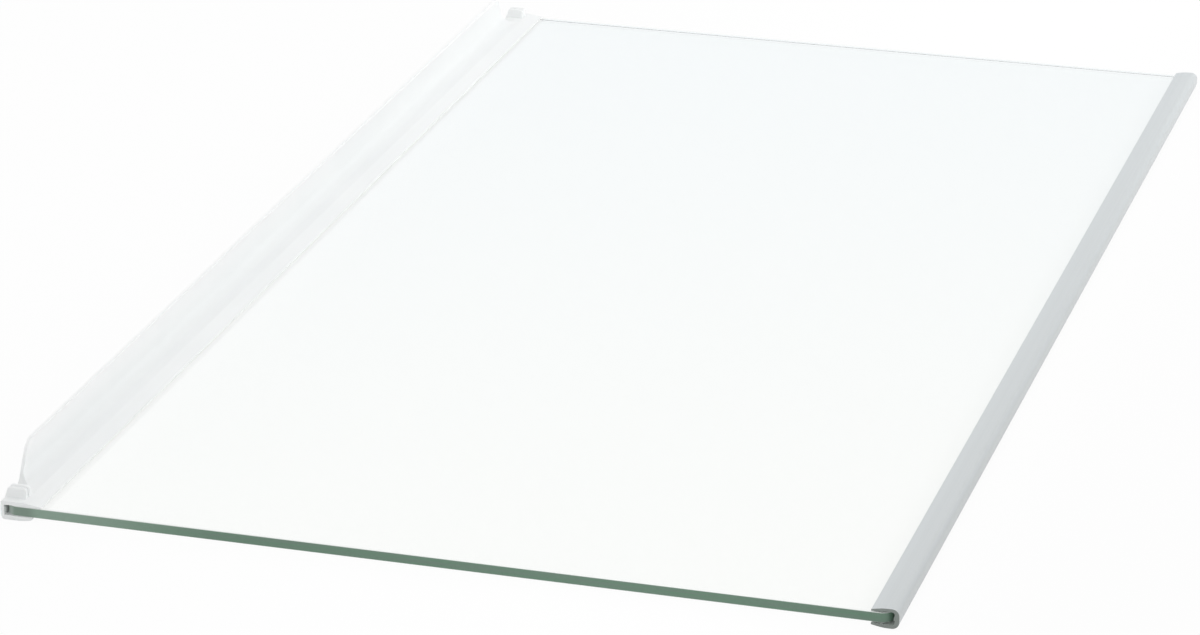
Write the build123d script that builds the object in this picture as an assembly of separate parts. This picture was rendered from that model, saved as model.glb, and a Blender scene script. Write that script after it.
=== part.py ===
"""Fridge glass shelf: a clear pane held by a grey front trim and a white rear rail with a raised wall."""

import os
from math import atan2, radians, tan

from build123d import *

# Millimetres. X runs along the shelf, +Y to its rear and Z up.
# The origin is on the surface that the shelf lies on, under the middle of the shelf.

# Glass pane
shelf_width = 520.0  # length of the pane and of both trims
pane_depth = 276.5
pane_thickness = 3.2
pane_corner_radius = 4.0
pane_arris = 0.35  # ground bevel along every edge of the glass

# Play between the glass and the plastic
face_clearance = 0.1  # above and below the pane, where it is gripped
edge_clearance = 0.25  # in front of and behind the pane, at the bottom of each channel

# Front trim: an extruded profile, alike above and below the pane
front_depth = 8.4  # from the nose to the tips of the lips
nose_wall = 1.4
nose_radius = 2.2
nose_inner_radius = 0.8
lip_wall = 1.0
lip_gap = 0.5  # between the pane and the inside of a lip
lip_bow = 3.4  # length of lip that bends towards the pane
lip_tip_wall = 0.6
lip_tip_gap = 0.2
grip_inset = 3.0  # from a lip's tip to the rib that grips the pane
grip_width = 0.7
stop_width = 1.0  # rib inside the nose that the pane's edge faces
stop_height = 0.25

# Rear rail: channel and flange
back_wall = 1.0
floor_depth = 10.0  # lower lip, under the pane
floor_level = 6.0  # the floor's underside is level this far from the rear, then rises
floor_edge = 0.9  # thickness at the floor's front edge
heel_radius = 1.2  # lower rear corner
flange_depth = 13.2  # upper lip, over the pane
flange_wall = 1.2
flange_level = 7.5  # the flange is level this far from the rear, then thins
flange_edge = 0.4  # thickness at the flange's front edge

# Rear rail: raised wall, which keeps food off the back of the fridge
wall_rise = 12.1  # above the flange
wall_thickness = 1.2
rim_radius = 0.5  # along the wall's top and ends, and along the rail's upper rear edge
wall_end_inset = 13.5  # from the rail's end to the wall's foot
wall_end_lean = 29.0  # degrees from upright
wall_corner_radius = 6.0
root_radius = 4.0  # cove between the wall and the flange, also round the wall's ends

# Rear rail: a lug of two ribs near each end
lug_inset = 3.0  # from the rail's end to the outer rib
lug_rib = 1.7
lug_groove = 0.6
lug_depth = 7.2
lug_rise = 3.3
lug_lean = 1.1  # the lug's rear slopes forward by this much
lug_corner_radius = 1.0  # at the front and rear of its top
lug_edge_radius = 0.6  # along both sides of each rib

# Places that follow from the sizes above
pane_seat = lip_gap + lip_wall  # the pane's underside, above the surface that the shelf lies on
pane_top = pane_seat + pane_thickness
pane_middle = pane_seat + pane_thickness / 2
rear_hold = back_wall + edge_clearance
front_hold = nose_wall + stop_height + edge_clearance
shelf_depth = rear_hold + pane_depth + front_hold
rear_face = shelf_depth / 2
front_face = -shelf_depth / 2
slot_low = pane_seat - face_clearance
slot_high = pane_top + face_clearance
flange_top = slot_high + flange_wall
flange_middle = slot_high + flange_wall / 2
wall_top = flange_top + wall_rise
wall_front = rear_face - wall_thickness
same_place = 0.001  # how near two places have to be to count as one

# A section of the front trim has its origin at the nose, level with the middle of the pane.
front_section = Plane(origin=(0, front_face, pane_middle), x_dir=(0, 1, 0), z_dir=(1, 0, 0))
# A section of the rear rail has its origin at the rear face, on the surface that the shelf lies on.
rear_section = Plane(origin=(0, rear_face, 0), x_dir=(0, -1, 0), z_dir=(-1, 0, 0))


def rounded_face(corners):
    """Face inside a closed outline, from corners given as (across, up, radius)."""
    points = [(across, up) for across, up, radius in corners]
    radii = [radius for across, up, radius in corners]
    return make_face(FilletPolyline(*points, radius=radii, close=True))


def along_shelf(plane, corners):
    """Profile on a plane across the shelf, extruded from end to end of it."""
    return extrude(plane * rounded_face(corners), shelf_width / 2, both=True)


def round_rims(solid, axis, radius):
    """Rounds the edges of the two faces square to an axis, apart from the lowest edge of each."""
    faces = solid.faces().filter_by(axis)
    edges = [edge for face in faces for edge in face.edges().sort_by(Axis.Z)[1:]]
    return fillet(edges, radius)


def glass_pane():
    """Float glass pane with rounded corners and a ground arris on both faces."""
    pane_place = Pos(0, rear_face - rear_hold - pane_depth / 2, pane_seat)
    outline = RectangleRounded(shelf_width, pane_depth, pane_corner_radius)
    pane = extrude(pane_place * outline, pane_thickness)
    rims = pane.faces().sort_by(Axis.Z)
    return chamfer(rims[0].edges() + rims[-1].edges(), pane_arris)


def front_trim():
    """Extruded edge strip: a rounded nose, two bowed lips, their gripping ribs and a stop rib."""
    glass = pane_thickness / 2
    crown = glass + pane_seat
    tip_top = glass + lip_tip_gap + lip_tip_wall
    bow_angle = atan2(crown - tip_top, lip_bow)
    bow_radius = lip_bow / 2 / tan(bow_angle / 2)
    tip_radius = lip_tip_wall / 3
    grip_far = front_depth - grip_inset + grip_width / 2
    grip_near = grip_far - grip_width
    upper_half = [
        (0, crown, nose_radius),
        (front_depth - lip_bow, crown, bow_radius),
        (front_depth, tip_top, tip_radius),
        (front_depth, glass + lip_tip_gap, tip_radius),
        (grip_far, glass + lip_gap, 0),
        (grip_far, glass + face_clearance, 0),
        (grip_near, glass + face_clearance, 0),
        (grip_near, glass + lip_gap, 0),
        (nose_wall, glass + lip_gap, nose_inner_radius),
        (nose_wall, stop_width / 2, 0),
        (nose_wall + stop_height, stop_width / 2, 0),
    ]
    lower_half = [(across, -up, radius) for across, up, radius in reversed(upper_half)]
    return along_shelf(front_section, upper_half + lower_half)


def rail_channel():
    """Channel that grips the pane, with a short floor below it and a tapered flange above it."""
    return along_shelf(
        rear_section,
        [
            (0, 0, heel_radius),
            (floor_level, 0, 0),
            (floor_depth, slot_low - floor_edge, floor_edge / 2),
            (floor_depth, slot_low, 0),
            (back_wall, slot_low, 0),
            (back_wall, slot_high, 0),
            (flange_depth, slot_high, 0),
            (flange_depth, slot_high + flange_edge, flange_edge / 2),
            (flange_level, flange_top, 0),
            (0, flange_top, 0),
        ],
    )


def rail_wall():
    """Raised wall: a plate with leaning ends and rounded upper corners."""
    slope = tan(radians(wall_end_lean))
    foot = shelf_width / 2 - wall_end_inset
    low = foot + (flange_top - flange_middle) * slope
    peak = foot - wall_rise * slope
    right_end = [(low, flange_middle, 0), (peak, wall_top, wall_corner_radius)]
    left_end = [(-across, up, radius) for across, up, radius in reversed(right_end)]
    elevation = Plane.XZ.offset(-rear_face) * rounded_face(right_end + left_end)
    return extrude(elevation, wall_thickness)


def round_wall_foot(rail):
    """Cove where the wall stands on the flange, along its front and round both ends."""
    level = rail.edges().filter_by_position(Axis.Z, flange_top - same_place, flange_top + same_place)
    foot = level.filter_by_position(Axis.Y, wall_front - same_place, rear_face - same_place)
    return fillet(foot, root_radius)


def round_wall_rims(rail):
    """Rounds the wall's front edges, and the rear face's upper outline from end to end of the rail."""
    front, rear = rail.faces().filter_by(Axis.Y).sort_by(Axis.Y)[-2:]
    front_rim = front.edges().sort_by(Axis.Z)[1:]
    rear_rim = rear.edges().filter_by_position(Axis.Z, flange_middle, wall_top)
    return fillet(front_rim + rear_rim, rim_radius)


def rail_lugs():
    """Lugs that stop the shelf in the fridge's side rails: two rounded ribs near each end."""
    lug_top = flange_top + lug_rise
    profile = rear_section * rounded_face(
        [
            (0, flange_middle, 0),
            (0, flange_top, 0),
            (lug_lean, lug_top, lug_corner_radius),
            (lug_depth, lug_top, lug_corner_radius),
            (lug_depth, flange_middle, 0),
        ]
    )
    rib = round_rims(extrude(profile, lug_rib / 2, both=True), Axis.X, lug_edge_radius)
    first = shelf_width / 2 - lug_inset - lug_rib / 2
    second = first - lug_rib - lug_groove
    return [Pos(x, 0, 0) * rib for x in (-first, -second, second, first)]


def rear_trim():
    """White moulded rail: channel, wall and lugs in one piece."""
    rail = round_wall_rims(round_wall_foot(rail_channel() + rail_wall()))
    for lug in rail_lugs():
        rail += lug
    return rail


os.makedirs("parts", exist_ok=True)
for piece in (glass_pane, front_trim, rear_trim):
    solid = piece()
    export_step(solid, f"parts/{piece.__name__}.step")
    size = solid.bounding_box().size
    print(f"{piece.__name__}: {size.X:.1f} x {size.Y:.1f} x {size.Z:.1f} mm, {solid.volume / 1000:.1f} cm3")
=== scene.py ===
# %% [markdown]
# # A fridge's glass shelf
# Three pieces make up the shelf: a clear pane of float glass, a silver-grey strip pushed onto its front
# edge and a white moulded rail on its rear edge. The CAD model already holds their exact shapes, so it is
# loaded as a fixed frame, and everything here is about how the pieces look.

# %% Load the CAD frame
import math

import bmesh
import bpy
from mathutils import Matrix, Vector


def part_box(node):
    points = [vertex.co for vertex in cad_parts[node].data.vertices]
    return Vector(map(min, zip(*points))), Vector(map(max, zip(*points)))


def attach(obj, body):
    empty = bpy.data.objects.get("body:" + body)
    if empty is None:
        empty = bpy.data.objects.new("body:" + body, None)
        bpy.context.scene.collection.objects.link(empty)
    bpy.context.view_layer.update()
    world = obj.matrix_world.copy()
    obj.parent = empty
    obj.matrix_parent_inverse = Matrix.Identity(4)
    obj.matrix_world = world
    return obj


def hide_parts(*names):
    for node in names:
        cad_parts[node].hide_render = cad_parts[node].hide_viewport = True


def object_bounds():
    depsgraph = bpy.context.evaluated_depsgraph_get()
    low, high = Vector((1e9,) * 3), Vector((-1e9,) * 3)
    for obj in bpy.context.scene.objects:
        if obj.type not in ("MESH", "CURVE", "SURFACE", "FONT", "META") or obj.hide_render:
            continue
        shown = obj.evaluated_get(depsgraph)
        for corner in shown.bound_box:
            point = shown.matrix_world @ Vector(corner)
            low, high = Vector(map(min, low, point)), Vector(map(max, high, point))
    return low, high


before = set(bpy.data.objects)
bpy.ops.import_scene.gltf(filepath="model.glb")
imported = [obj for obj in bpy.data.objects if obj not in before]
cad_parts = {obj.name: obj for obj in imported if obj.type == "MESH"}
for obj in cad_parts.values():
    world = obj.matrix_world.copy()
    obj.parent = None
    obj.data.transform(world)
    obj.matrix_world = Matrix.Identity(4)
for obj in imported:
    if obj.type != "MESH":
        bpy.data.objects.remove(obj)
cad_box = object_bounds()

cad_size = cad_box[1] - cad_box[0]
print("CAD nodes:", sorted(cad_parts))
print("CAD box in mm:", [round(side * 1000, 1) for side in cad_size])

# %% [markdown]
# ## A bench for shaders
# A procedural finish is a chain of small nodes. Wiring them by hand in Python buries the idea under links,
# so one small class wraps a socket: adding or multiplying two wrapped values adds the Math node for it.

# %% Values that can be added and multiplied
class Value:
    """A socket in a shader. An expression on values adds Math nodes."""

    def __init__(self, finish, socket):
        self.finish, self.socket = finish, socket

    def math(self, operation, *terms):
        return self.finish.node("ShaderNodeMath", {"operation": operation}, dict(enumerate(terms)))

    def __add__(self, other):
        return self.math("ADD", self, other)

    def __radd__(self, other):
        return self.math("ADD", other, self)

    def __sub__(self, other):
        return self.math("SUBTRACT", self, other)

    def __rsub__(self, other):
        return self.math("SUBTRACT", other, self)

    def __mul__(self, other):
        return self.math("MULTIPLY", self, other)

    def __rmul__(self, other):
        return self.math("MULTIPLY", other, self)

    def __abs__(self):
        return self.math("ABSOLUTE", self)

    def larger(self, other):
        return self.math("MAXIMUM", self, other)


print("Methods of a value:", [name for name, member in vars(Value).items() if callable(member)])

# %% [markdown]
# ### One finish, one node tree
# Every material here is a tree of nodes, and so is the world. A second class holds one such tree. Every node,
# the Math ones too, comes from a single method, which takes the kind of node, then its settings, then the
# value or link of each socket. What most finishes need is a short method on top: the parts of a vector,
# streaks, fades and blends.

# %% A finish: one node tree
class Finish:
    """The node tree of a material or of the world."""

    def __init__(self, owner):
        owner.use_nodes = True
        self.owner, self.tree = owner, owner.node_tree
        self.tree.nodes.clear()

    def node(self, kind, settings=None, sockets=None, out=0):
        """Adds a node: its settings first, then the value or link of each socket. Gives the outputs named."""
        made = self.tree.nodes.new(kind)
        for name, setting in (settings or {}).items():
            setattr(made, name, setting)
        for key, given in (sockets or {}).items():
            entry = self.pick(made.inputs, key)
            if isinstance(given, Value):
                self.tree.links.new(given.socket, entry)
            else:
                entry.default_value = given
        if isinstance(out, tuple):
            return [Value(self, self.pick(made.outputs, name)) for name in out]
        return Value(self, self.pick(made.outputs, out)) if made.outputs else None

    def pick(self, sockets, key):
        """A socket by its place, its name or, where names repeat, its identifier."""
        if isinstance(key, int):
            return sockets[key]
        return next(
            socket for socket in sockets
            if socket.identifier == key or (socket.name == key and socket.enabled)
        )

    def part(self, vector, axis):
        """The X, Y or Z of a vector, or several of them for a tuple of axes."""
        return self.node("ShaderNodeSeparateXYZ", None, {0: vector}, out=axis)

    def streaks(self, place, stretch, detail):
        """Noise that changes fast along the axes with a large stretch and slowly along the others."""
        stretched = self.node("ShaderNodeVectorMath", {"operation": "MULTIPLY"}, {0: place, 1: stretch})
        return self.node("ShaderNodeTexNoise", None, {"Vector": stretched, "Scale": 1.0, "Detail": detail})

    def fade(self, value, start, end):
        """0 before start, 1 after end and a smooth step between them."""
        return self.node(
            "ShaderNodeMapRange",
            {"interpolation_type": "SMOOTHSTEP"},
            {"Value": value, "From Min": start, "From Max": end},
        )

    def blend(self, share, first, second):
        """First colour where share is 0, second where it is 1."""
        return self.node(
            "ShaderNodeMix",
            {"data_type": "RGBA"},
            {"Factor_Float": share, "A_Color": first, "B_Color": second},
            out="Result_Color",
        )

    def shade(self, share, first, second):
        """First shader where share is 0, second where it is 1."""
        return self.node("ShaderNodeMixShader", None, {0: share, 1: first, 2: second})

    def surface(self, shader):
        """Makes a shader the surface of the material, or of the world."""
        is_world = isinstance(self.owner, bpy.types.World)
        kind = "ShaderNodeOutputWorld" if is_world else "ShaderNodeOutputMaterial"
        self.node(kind, None, {"Surface": shader})
        return self.owner


print("Shader bench:", [name for name in vars(Finish) if not name.startswith("_")])

# %% [markdown]
# ## The camera
# The shelf was seen from its left end, a little towards the front and from above, through a long lens.
# A camera fitted to its straight edges and to the rail's ends gives the place and the turn. The three
# directions of the camera are worked out from those angles and written straight into its matrix.

# %% Set up the camera
camera_place = Vector((-1.44569, -0.39540, 0.56285))
camera_azimuth = math.radians(-73.7465)
camera_height = math.radians(21.0885)
camera_roll = math.radians(0.1542)
lens_mm = 138.485
sensor_mm = 36
sight_reach = 50  # metres, well past the floor's far side


def camera_matrix(place, azimuth, height, roll):
    """Matrix of a camera at a place, turned by an azimuth, a height and a roll."""
    level = math.cos(height)
    back = Vector((math.sin(azimuth) * level, -math.cos(azimuth) * level, math.sin(height)))
    right = Vector((math.cos(azimuth), math.sin(azimuth), 0))
    turn = Matrix((right, back.cross(right), back)).transposed() @ Matrix.Rotation(roll, 3, "Z")
    return Matrix.Translation(place) @ turn.to_4x4()


lens = bpy.data.cameras.new("lens")
lens.lens = lens_mm
lens.sensor_width = sensor_mm
lens.sensor_fit = "HORIZONTAL"
lens.clip_end = sight_reach
camera = bpy.data.objects.new("camera", lens)
camera.matrix_world = camera_matrix(camera_place, camera_azimuth, camera_height, camera_roll)
bpy.context.scene.collection.objects.link(camera)
bpy.context.scene.camera = camera
bpy.context.scene.view_settings.view_transform = "Standard"
print(f"Camera {(camera_place - cad_box[0]).length:.2f} m from the near corner, lens {lens_mm:.0f} mm")

# %% [markdown]
# ## White surroundings
# Clear glass shows nothing but what is around it, so the surroundings matter as much as the glass does.
# The world is plain white wherever the camera, a reflection or a look through the glass meets it. For the
# last two that white is a little cool near the horizon, which is what tints the far half of the pane. As a
# lamp the world is a soft tent of light, brightest above the shelf and on the side where the camera stands.

# %% A soft white tent
tent_axis = (-0.53, 0.0, 0.85)
tent_dim = (0.133, 0.133, 0.133, 1)
tent_bright = (0.834, 0.834, 0.834, 1)
pure_white = (1, 1, 1, 1)
horizon_white = (0.88, 0.94, 1.0, 1)
horizon_band = (0.29, 0.42)  # heights, as sines, over which the cool white turns pure
looks = ("Is Camera Ray", "Is Glossy Ray", "Is Transmission Ray")


def studio_world():
    sky = Finish(bpy.data.worlds.new("studio"))
    seen, mirrored, through = sky.node("ShaderNodeLightPath", out=looks)
    direction = sky.node("ShaderNodeTexCoord", out="Generated")
    bright_side = sky.node(
        "ShaderNodeVectorMath", {"operation": "DOT_PRODUCT"}, {0: direction, 1: tent_axis}, out="Value"
    )
    glow = sky.blend(sky.fade(bright_side, -1.0, 1.0), tent_dim, tent_bright)
    lit = sky.node("ShaderNodeBackground", None, {"Color": glow})
    cool = sky.blend(sky.fade(sky.part(direction, "Z"), *horizon_band), horizon_white, pure_white)
    in_glass = sky.node("ShaderNodeBackground", None, {"Color": cool})
    plain = sky.node("ShaderNodeBackground", None, {"Color": pure_white})
    return sky.surface(sky.shade(seen, sky.shade(mirrored.larger(through), lit, in_glass), plain))


bpy.context.scene.world = studio_world()
print("World:", bpy.context.scene.world.name)

# %% [markdown]
# ## The floor
# The floor is a pale matt sheet. Where it is looked at, most of its colour is plain white and the rest is
# the light that really falls on it, so that it keeps a faint shadow of the shelf. Under the glass, close to
# the front strip, that light counts for a little more and the plain white there is painted a little darker:
# the soft grey band along the strip's lip is partly its real shadow and partly painted shade. Close to the
# rail the light counts for less and more plain white shows, which is painted light over the rail's shadow.

# %% A pale floor that keeps a shadow
floor_drop = 0.0002  # keeps the floor just clear of the trims' undersides
floor_half = 6.0
floor_pale = (0.85, 0.85, 0.85, 1)
plain_white = 0.95  # share of plain white where the floor is looked at directly
plain_white_through = 0.93  # and where it is seen through the glass
# painted shade by the front strip, over its real shadow, and painted light by the rear rail
painted_strip_shade = 0.08  # how much smaller that share gets by the front strip
painted_strip_shade_reach = 0.010
painted_rail_light = 0.035  # how much larger it gets by the rear rail
painted_rail_light_reach = 0.012
strip_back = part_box("front_trim")[1].y
rail_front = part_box("rear_trim")[0].y


def floor_finish():
    sheet = Finish(bpy.data.materials.new("floor_sheet"))
    seen, mirrored, through = sheet.node("ShaderNodeLightPath", out=looks)
    depth = sheet.part(sheet.node("ShaderNodeTexCoord", out="Object"), "Y")
    by_strip = sheet.fade(depth, strip_back + painted_strip_shade_reach, strip_back)
    by_rail = sheet.fade(depth, rail_front - painted_rail_light_reach, rail_front)
    # the plain-white share is painted smaller by the strip and larger by the rail
    share_through = plain_white_through - painted_strip_shade * by_strip + painted_rail_light * by_rail
    share = (seen * plain_white).larger(mirrored.larger(through) * share_through)
    matt = sheet.node("ShaderNodeBsdfDiffuse", None, {"Color": floor_pale})
    white = sheet.node("ShaderNodeEmission", None, {"Color": pure_white})
    return sheet.surface(sheet.shade(share, matt, white))


floor_mesh = bpy.data.meshes.new("floor")
corners = [(-1, -1), (1, -1), (1, 1), (-1, 1)]
floor_points = [(x * floor_half, y * floor_half, -floor_drop) for x, y in corners]
floor_mesh.from_pydata(floor_points, [], [(0, 1, 2, 3)])
floor_mesh.materials.append(floor_finish())
floor = bpy.data.objects.new("floor", floor_mesh)
bpy.context.scene.collection.objects.link(floor)
print(f"Floor {2 * floor_half:.0f} m wide")

# %% [markdown]
# ## Soft boxes
# Five soft boxes add to the tent. One hangs overhead, and one in front of the far end lifts the raised wall.
# A small low one brightens the far end of the strip's nose, a long one over the shelf fills the wall evenly
# and one stands behind, so that the rail's rear isn't left grey. A photographer keeps lamps out of the
# reflections in glass with flags and angles. Here each lamp is hidden from the camera, from mirrored rays
# and from rays through the glass.

# %% Hang the soft boxes
soft_boxes = [  # name, place, aim, width, depth and watts of each
    ("overhead_box", (0.55, 0.5, 0.90), (0.1, 0.0, 0.0), 1.0, 1.0, 0.6),
    ("front_box", (0.75, -0.7, 0.32), (0.2, 0.0, 0.0), 1.2, 0.7, 3.25),
    ("nose_box", (0.35, -0.30, 0.06), (0.30, -0.139, 0.004), 0.5, 0.1, 0.08),
    ("wall_box", (0.08, -0.10, 0.14), (0.08, 0.14, 0.01), 1.0, 0.15, 0.46),
    ("rear_box", (0.1, 0.9, 0.15), (0.0, 0.14, 0.01), 1.4, 0.25, 2.0),
]


def soft_box(name, place, aim, width, depth, watts):
    """A rectangular area lamp at a place, facing a point."""
    lamp = bpy.data.lights.new(name, "AREA")
    lamp.shape = "RECTANGLE"
    lamp.size = width
    lamp.size_y = depth
    lamp.energy = watts
    hung = bpy.data.objects.new(name, lamp)
    hung.location = place
    hung.rotation_euler = (Vector(aim) - Vector(place)).to_track_quat("-Z", "Y").to_euler()
    hung.visible_camera = hung.visible_glossy = hung.visible_transmission = False
    bpy.context.scene.collection.objects.link(hung)
    return hung


lamps = [soft_box(*given) for given in soft_boxes]
print("Lamps in watts:", {lamp.name: round(lamp.data.energy, 2) for lamp in lamps})

# %% [markdown]
# ## The glass pane
# Float glass is clear through its faces and dark green along its ground edges, because light inside the
# pane runs sideways through up to half a metre of glass before it leaves by an edge. One solid with one
# material can't be both, so the pane is rebuilt with the CAD node's own sizes and two materials: polished
# faces and ground edges. It starts as a stack of outlines, one for each level. The bevel along each edge,
# the arris, is rounded over in a few steps, so the outlines draw in a little at the top and the bottom.

# %% Outlines of the pane
pane_low, pane_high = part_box("glass_pane")
corner_radius = 0.004  # this and the arris are the CAD part's sizes
arris = 0.00035
arris_steps = 4
corner_steps = 20


def pane_ring(inset, level):
    """Outline of the pane at a level, brought in from its edges by an inset."""
    points = []
    radius = corner_radius - inset
    for turn, (side_x, side_y) in enumerate([(1, 1), (-1, 1), (-1, -1), (1, -1)]):
        x = (pane_high if side_x > 0 else pane_low).x - side_x * corner_radius
        y = (pane_high if side_y > 0 else pane_low).y - side_y * corner_radius
        for step in range(corner_steps + 1):
            angle = math.pi / 2 * (turn + step / corner_steps)
            points.append((x + radius * math.cos(angle), y + radius * math.sin(angle), level))
    return points


def pane_levels():
    """Inset and level of each ring, from the lower face round the edge to the upper face."""
    curve = [math.pi / 2 * step / arris_steps for step in range(arris_steps + 1)]
    upper = [
        (arris * (1 - math.cos(angle)), pane_high.z - arris * (1 - math.sin(angle))) for angle in curve
    ]
    lower = [(inset, pane_low.z + pane_high.z - level) for inset, level in reversed(upper)]
    return lower + upper


outlines = [pane_ring(*level) for level in pane_levels()]
print(f"Pane: {len(outlines)} outlines of {len(outlines[0])} points")

# %% [markdown]
# ### From outlines to a solid
# Quads join each outline to the next, and the first and last are closed by one face each. A script could
# bevel a box instead, but then it would have to find the edge faces again to give them their own material.
# The edge is shaded smooth, apart from sharp lines where the arris meets a face and where it meets the flat.

# %% Join the outlines
edge_place = 1  # place of the edge's material in the mesh, after the faces' own


def build_pane():
    shape = bmesh.new()
    rings = [[shape.verts.new(point) for point in outline] for outline in outlines]
    for lower, upper in zip(rings, rings[1:]):
        for i in range(len(lower)):
            j = (i + 1) % len(lower)
            shape.faces.new((lower[i], lower[j], upper[j], upper[i])).material_index = edge_place
    shape.faces.new(reversed(rings[0]))
    shape.faces.new(rings[-1])
    for face in shape.faces:
        face.smooth = face.material_index == edge_place
    for ring in (rings[0], rings[arris_steps], rings[arris_steps + 1], rings[-1]):
        for i, vert in enumerate(ring):
            shape.edges.get((vert, ring[i - 1])).smooth = False
    mesh = bpy.data.meshes.new("pane")
    shape.to_mesh(mesh)
    shape.free()
    return mesh


pane_mesh = build_pane()
print(f"Pane: {len(pane_mesh.vertices)} points, {len(pane_mesh.polygons)} faces")

# %% [markdown]
# ### Polished faces
# The faces are plain transmission glass with a trace of green. A shelf in use carries faint wiping marks, so
# a stretched noise lifts the roughness a touch. Lamps reach through the glass by a transparent shader on
# shadow rays, which keeps the floor under the pane bright.

# %% Finish of the glass faces
glass_tint = (0.978, 0.99, 0.975, 1)
glass_shadow = (0.90, 0.94, 0.92, 1)
wiping_stretch = (9, 30, 9)
wiping_band = (0.45, 0.8)  # noise over which a wiping mark sets in
wiping_roughness = 0.025


def clear_glass(finish, roughness):
    return finish.node("ShaderNodeBsdfPrincipled", None, {
        "Base Color": glass_tint, "Roughness": roughness, "IOR": 1.5, "Transmission Weight": 1.0,
    })


def glass_face_finish():
    glass = Finish(bpy.data.materials.new("polished_glass"))
    place = glass.node("ShaderNodeTexCoord", out="Object")
    wiped = glass.streaks(place, wiping_stretch, 5.0)
    body = clear_glass(glass, glass.fade(wiped, *wiping_band) * wiping_roughness)
    shadow = glass.node("ShaderNodeLightPath", out="Is Shadow Ray")
    passing = glass.node("ShaderNodeBsdfTransparent", None, {"Color": glass_shadow})
    return glass.surface(glass.shade(shadow, body, passing))


pane_mesh.materials.append(glass_face_finish())
print("Faces of the pane:", pane_mesh.materials[0].name)

# %% [markdown]
# ### Ground edges
# From outside, a ground edge is an even grey-green. It is drawn there as an opaque satin surface with fine
# grinding streaks along it and a pale bevel above and below, which is frosted and partly a painted highlight.
# From inside, through the pane, the flat of the edge is clear and only its bevel is frosted, which leaves the
# thin dark line along the far edge. Towards the rail its green is painted paler, painted light for the white
# plastic that shines into the edge, until the rail's shade, painted darker, falls on it. The rear edge,
# inside the rail, is the palest. The frost gets a little darker towards the rail.

# %% Finish of the ground edge
edge_green = (0.122, 0.228, 0.155, 1)
edge_grey = (0.142, 0.216, 0.168, 1)
# painted light on the edge near the rail, then the rail's painted shade at its mouth
edge_painted_rail_light = (0.245, 0.348, 0.278, 1)
edge_painted_rail_shade = (0.19, 0.262, 0.212, 1)
edge_at_back = (0.36, 0.43, 0.385, 1)
# pale bevel: frosted, and partly a painted highlight
arris_frost_highlight = (0.86, 0.89, 0.87, 1)
frost_pale = (0.66, 0.66, 0.65, 1)
frost_dark = (0.48, 0.49, 0.49, 1)
grinding_stretch = (60, 60, 2600)
grinding_band = (0.3, 0.7)  # noise over which green turns to grey
bevel_turn = (0.25, 0.75)  # how far a normal points up or down where the flat turns to bevel
back_turn = (0.15, 0.6)  # how far a normal points back where the side turns to the rear edge
rail_shine_start = 0.065  # Y where the edge starts to get paler
rail_cover = 0.011  # length at the rear end of the edge that the rail shades
mouth_shade_reach = 0.004
rail_mouth = pane_high.y - rail_cover


def glass_edge_finish():
    edge = Finish(bpy.data.materials.new("ground_glass_edge"))
    place = edge.node("ShaderNodeTexCoord", out="Object")
    normal, inside = edge.node("ShaderNodeNewGeometry", out=("Normal", "Backfacing"))
    facing_back, facing_up = edge.part(normal, ("Y", "Z"))
    rearward = edge.part(place, "Y")
    ground = edge.streaks(place, grinding_stretch, 4.0)
    green = edge.blend(edge.fade(ground, *grinding_band), edge_green, edge_grey)
    # painted light towards the rail, then painted shade where the rail covers the edge
    green = edge.blend(edge.fade(rearward, rail_shine_start, rail_mouth), green, edge_painted_rail_light)
    green = edge.blend(edge.fade(rearward, rail_mouth, rail_mouth + mouth_shade_reach), green, edge_painted_rail_shade)
    green = edge.blend(edge.fade(facing_back, *back_turn), green, edge_at_back)
    bevel = edge.fade(abs(facing_up), *bevel_turn)
    body = edge.node("ShaderNodeBsdfPrincipled", None, {
        "Base Color": edge.blend(bevel, green, arris_frost_highlight), "Roughness": 0.3 + 0.2 * ground, "IOR": 1.5,
    })
    frost = edge.blend(edge.fade(rearward, pane_low.y, pane_high.y), frost_pale, frost_dark)
    ground_bevel = edge.node("ShaderNodeBsdfPrincipled", None, {
        "Base Color": frost, "Roughness": 1.0, "Specular IOR Level": 0.0,
    })
    return edge.surface(edge.shade(inside, body, edge.shade(bevel, clear_glass(edge, 0.0), ground_bevel)))


pane_mesh.materials.append(glass_edge_finish())
pane = bpy.data.objects.new("pane", pane_mesh)
bpy.context.scene.collection.objects.link(pane)
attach(pane, "root")
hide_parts("glass_pane")
print("Pane finishes:", [material.name for material in pane_mesh.materials])

# %% [markdown]
# ## The front strip
# The strip is extruded: silver-grey outside over a darker core that shows where it is sawn off. Inside its
# channel it is a greenish grey, partly that core and partly painted shade. Extrusion leaves fine lines along
# its whole length. The CAD shape is right, so the node stays and gets this finish. Masks made from the
# normal and the place pick out the sawn ends, the insides of both lips and the inside of the nose.

# %% Finish of the front strip
strip_silver = (0.594, 0.622, 0.628, 1)
strip_silver_dark = (0.580, 0.609, 0.616, 1)
core_grey = (0.235, 0.262, 0.246, 1)
# inside the channel: partly the darker core, partly painted shade
inside_core_and_shade = (0.40, 0.44, 0.415, 1)
drawing_stretch = (4, 2200, 2200)
drawing_band = (0.35, 0.65)  # noise over which silver turns to its darker tone
end_turn = (0.8, 0.95)  # how far a normal points along the strip on a sawn end
nose_turn = (0.3, 0.6)  # how far a normal points back inside the nose
lip_band = (0.0004, 0.0008)  # distance from the pane's middle at which a face towards it is a lip's
nose_wall_end, nose_wall_clear = 0.003, 0.004  # depths behind the nose where its inside ends
pane_middle = (pane_low.z + pane_high.z) / 2
strip_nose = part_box("front_trim")[0].y


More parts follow.
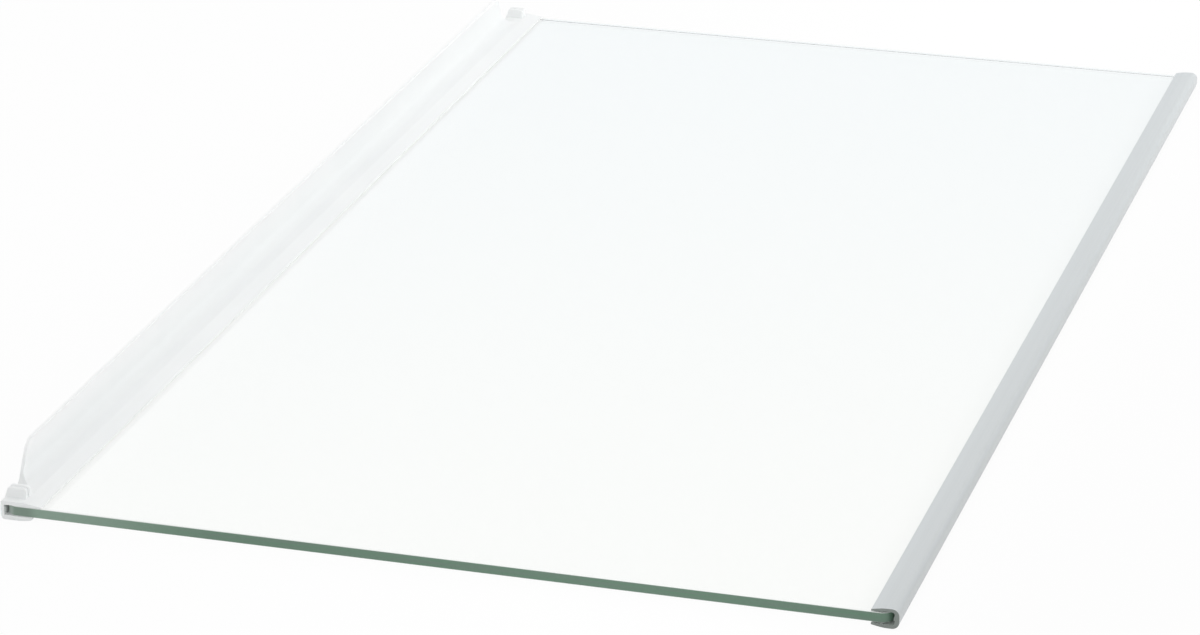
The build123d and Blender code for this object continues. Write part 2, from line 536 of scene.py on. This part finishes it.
def strip_finish():
    strip = Finish(bpy.data.materials.new("silver_strip"))
    place = strip.node("ShaderNodeTexCoord", out="Object")
    normal = strip.node("ShaderNodeNewGeometry", out="Normal")
    facing_end, facing_back, facing_up = strip.part(normal, ("X", "Y", "Z"))
    depth, level = strip.part(place, ("Y", "Z"))
    end = strip.fade(abs(facing_end), *end_turn)
    lip_inside = strip.fade(facing_up * (pane_middle - level), *lip_band)
    by_nose = strip.fade(depth, strip_nose + nose_wall_clear, strip_nose + nose_wall_end)
    inside = lip_inside.larger(strip.fade(facing_back, *nose_turn) * by_nose)
    lines = strip.streaks(place, drawing_stretch, 3.0)
    silver = strip.blend(strip.fade(lines, *drawing_band), strip_silver, strip_silver_dark)
    colour = strip.blend(end, strip.blend(inside, silver, inside_core_and_shade), core_grey)
    dents = strip.node("ShaderNodeBump", None, {"Height": lines, "Strength": 0.15, "Distance": 0.00005})
    body = strip.node("ShaderNodeBsdfPrincipled", None, {
        "Base Color": colour, "Roughness": 0.32 + 0.1 * lines + 0.25 * end, "IOR": 1.5, "Normal": dents,
    })
    return strip.surface(body)


front_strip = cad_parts["front_trim"]
front_strip.data.materials[0] = strip_finish()
print("Front strip finish:", front_strip.data.materials[0].name)

# %% [markdown]
# ## The rear rail
# The rail is one white injection moulding. The tool leaves a very fine grain on it, and thick and thin
# stretches cool to slightly different whites. The wall's top and the flange's tip are thin enough to let
# light through, and that light is painted in: they are whiter. Towards the near end, where the tent is
# brightest, the wall is painted whiter further down too. The corner at the wall's foot is a little greyer,
# which is painted shade, and so is the rounded rim of the flange's tip, which is also a little glossier.

# %% Finish of the rear rail
rail_white = (0.89, 0.905, 0.905, 1)
rail_shade = (0.87, 0.887, 0.889, 1)
# painted shade in the corner at the wall's foot
corner_painted_shade = (0.81, 0.825, 0.825, 1)
# painted light: the thin wall top, the flange's tip and the lower wall near the near end
painted_light_white = (0.97, 0.98, 0.98, 1)
# painted shade on the tip's rounded rim, which dims its highlight
rim_painted_shade = (0.78, 0.795, 0.795, 1)
flow_band = (0.35, 0.7)  # noise over which one white turns to the other
rail_low, rail_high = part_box("rear_trim")
wall_thickness = 0.0012
flange_rise = 0.0013  # from the glass to the flange's level top
wall_front = rail_high.y - wall_thickness
flange_top = pane_high.z + flange_rise
flange_tip = rail_low.y
corner_full, corner_reach = 0.0008, 0.0046  # distances from the wall and the flange
lug_end, lug_clear = 0.008, 0.012  # distances from the rail's end, past the lug there
tip_full, tip_reach = 0.0003, 0.0006  # distances behind the flange's tip
tip_rim_turn = (-0.2, -0.5)  # how far a normal points back on the tip's rounded rim
tip_face_turn = (-0.7, -0.95)  # and on the tip's front
top_full, top_reach = 0.0004, 0.0011  # distances below the wall's top
glow_low, glow_high = 0.0035, 0.011  # heights above the flange over which the wall gets whiter


def rail_finish():
    rail = Finish(bpy.data.materials.new("white_moulding"))
    place = rail.node("ShaderNodeTexCoord", out="Object")
    grain = rail.node("ShaderNodeTexNoise", None, {"Vector": place, "Scale": 2500.0, "Detail": 3.0})
    flow = rail.node("ShaderNodeTexNoise", None, {"Vector": place, "Scale": 22.0, "Detail": 2.0})
    across, depth, level = rail.part(place, ("X", "Y", "Z"))
    facing_back = rail.part(rail.node("ShaderNodeNewGeometry", out="Normal"), "Y")
    near_wall = rail.fade(depth, wall_front - corner_reach, wall_front - corner_full)
    near_flange = rail.fade(level, flange_top + corner_reach, flange_top + corner_full)
    clear_of_lugs = rail.fade(abs(across), rail_high.x - lug_end, rail_high.x - lug_clear)
    # where the corner's painted shade goes
    corner = near_wall * near_flange * clear_of_lugs
    at_tip = rail.fade(depth, flange_tip + tip_reach, flange_tip + tip_full)
    tip_rim = at_tip * rail.fade(facing_back, *tip_rim_turn)
    tip_face = at_tip * rail.fade(facing_back, *tip_face_turn)
    thin_top = rail.fade(level, rail_high.z - top_reach, rail_high.z - top_full)
    near_end = rail.fade(across, rail_high.x, rail_low.x)
    wall_glow = near_end * rail.fade(level, flange_top + glow_low, flange_top + glow_high)
    colour = rail.blend(rail.fade(flow, *flow_band), rail_white, rail_shade)
    # painted shade in the foot's corner and on the tip's rim, painted light on the thin parts
    colour = rail.blend(corner, colour, corner_painted_shade)
    colour = rail.blend(tip_rim, colour, rim_painted_shade)
    colour = rail.blend(tip_face.larger(thin_top).larger(wall_glow), colour, painted_light_white)
    pits = rail.node("ShaderNodeBump", None, {"Height": grain, "Strength": 0.2, "Distance": 0.00003})
    body = rail.node("ShaderNodeBsdfPrincipled", None, {
        "Base Color": colour, "Roughness": 0.42 + 0.12 * grain - 0.3 * tip_rim, "IOR": 1.5, "Normal": pits,
        "Subsurface Weight": 0.2, "Subsurface Radius": (1.0, 1.0, 1.0), "Subsurface Scale": 0.0004,
    })
    return rail.surface(body)


rear_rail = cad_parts["rear_trim"]
rear_rail.data.materials[0] = rail_finish()
print("Rear rail finish:", rear_rail.data.materials[0].name)

# %% [markdown]

# %% [markdown]
